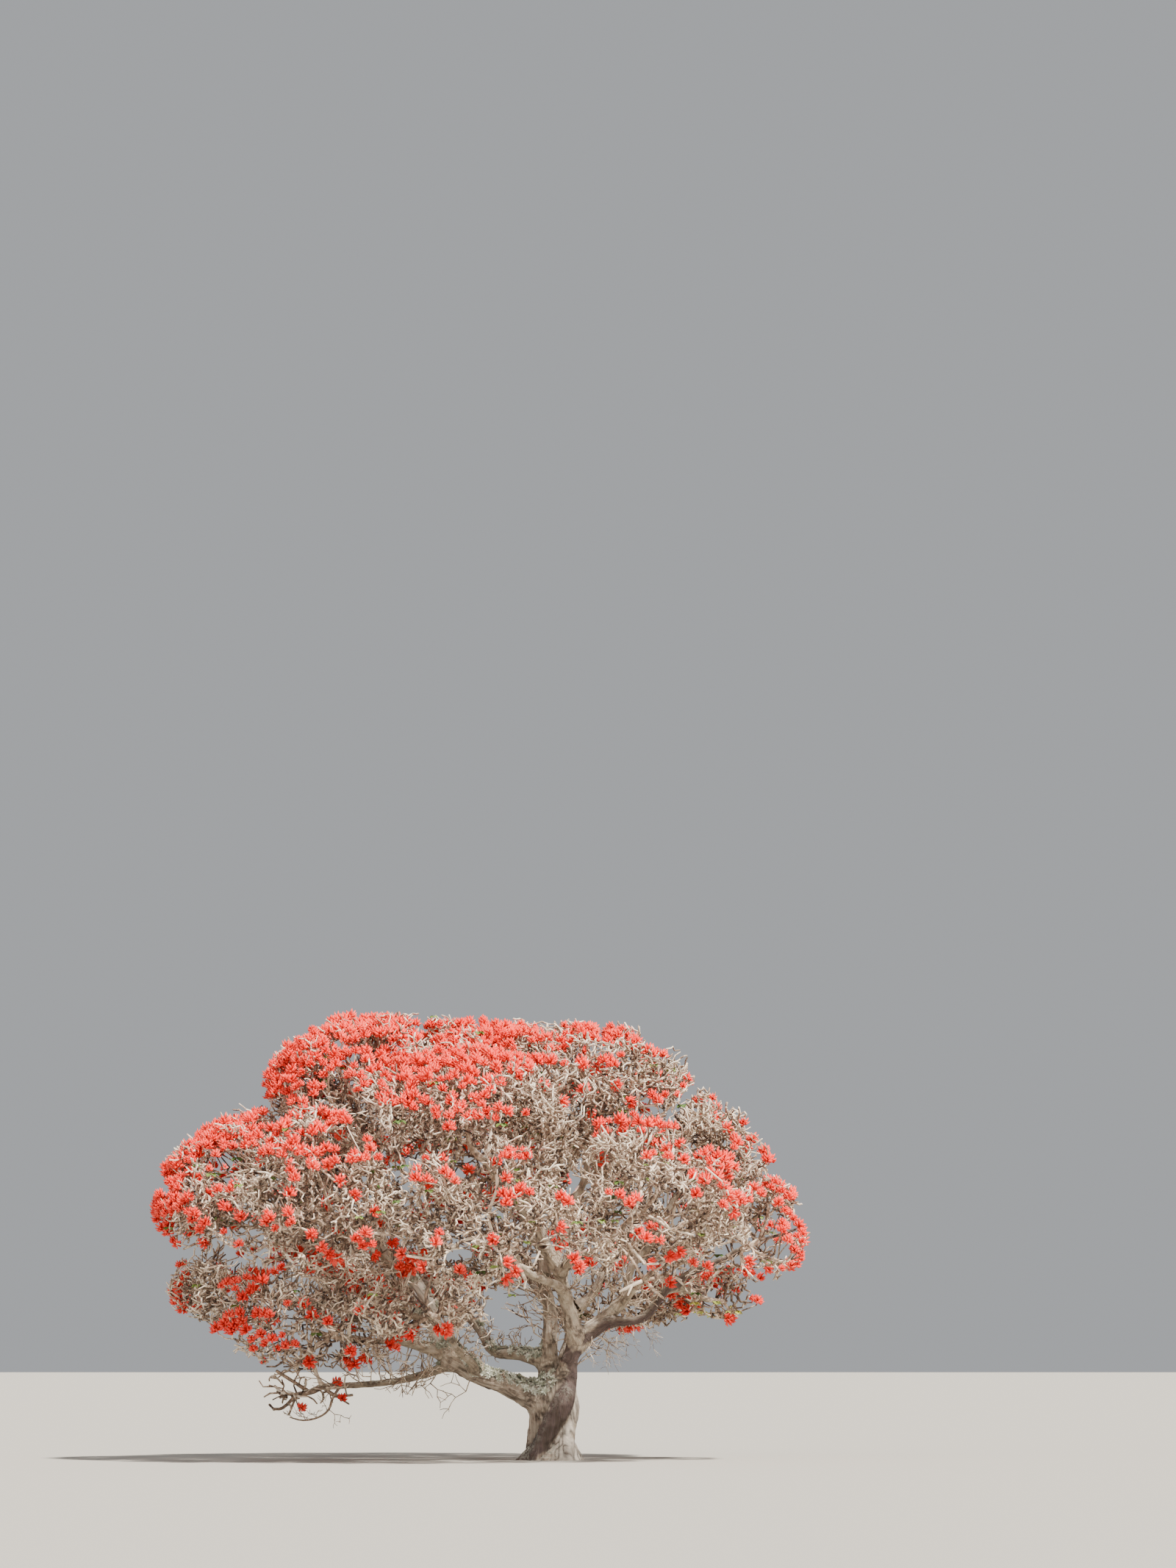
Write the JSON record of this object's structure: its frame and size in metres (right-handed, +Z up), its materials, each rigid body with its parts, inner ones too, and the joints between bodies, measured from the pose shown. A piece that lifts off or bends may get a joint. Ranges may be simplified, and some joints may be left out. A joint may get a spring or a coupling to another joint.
{
  "type": "flame tree",
  "caption": "Low, wide coral tree in red blossom on bare crooked wood, forked near the ground, cut flat at ground level.",
  "frame": {"origin": "centre of the flat cut under the trunk, at ground level", "axes": "+Z up the trunk, -Y towards the viewer of the picture, +X to the viewer's right along the crown's longest side"},
  "size_m": [10.3316, 9.4608, 7.0614],
  "materials": {
    "bark": "rough grey-brown bark with long fissures",
    "bough_bark": "paler bark, knobbly and matt",
    "flowering_twigs": "matt salmon-red petals on pale twigs",
    "bare_twigs": "pale greige twigs, with fewer red tufts"
  },
  "bodies": {
    "root": {"trunk": "bark", "left_fork": "bark", "centre_stem": "bark", "right_stem": "bark", "back_stem": "bark", "left_rise": "bark", "front_stem": "bark", "bough_top_left": "bough_bark", "bough_top_centre": "bough_bark", "bough_top_right": "bough_bark", "bough_top_front": "bough_bark", "bough_top_back": "bough_bark", "bough_left_shoulder": "bough_bark", "bough_left_front": "bough_bark", "bough_front": "bough_bark", "bough_right_front": "bough_bark", "bough_right_shoulder": "bough_bark", "bough_right_back": "bough_bark", "bough_back": "bough_bark", "bough_left_back": "bough_bark", "bough_left_skirt": "bough_bark", "bough_left_low": "bough_bark", "bough_droop": "bough_bark", "bough_front_low": "bough_bark", "bough_back_low_left": "bough_bark", "bough_back_low_right": "bough_bark", "bough_right_tip": "bough_bark", "bough_right_inner": "bough_bark", "bough_right_low": "bough_bark", "twigs_top_left": "flowering_twigs", "twigs_top_centre": "flowering_twigs", "twigs_top_right": "flowering_twigs", "twigs_top_front": "flowering_twigs", "twigs_top_back": "flowering_twigs", "twigs_left_shoulder": "flowering_twigs", "twigs_left_front": "bare_twigs", "twigs_front": "bare_twigs", "twigs_right_front": "bare_twigs", "twigs_right_shoulder": "bare_twigs", "twigs_right_back": "flowering_twigs", "twigs_back": "flowering_twigs", "twigs_left_back": "flowering_twigs", "twigs_left_skirt": "flowering_twigs", "twigs_left_low": "flowering_twigs", "twigs_droop": "bare_twigs", "twigs_front_low": "bare_twigs", "twigs_back_low_left": "bare_twigs", "twigs_back_low_right": "bare_twigs", "twigs_right_tip": "flowering_twigs", "twigs_right_inner": "bare_twigs", "twigs_right_low": "flowering_twigs"}
  },
  "joints": []
}
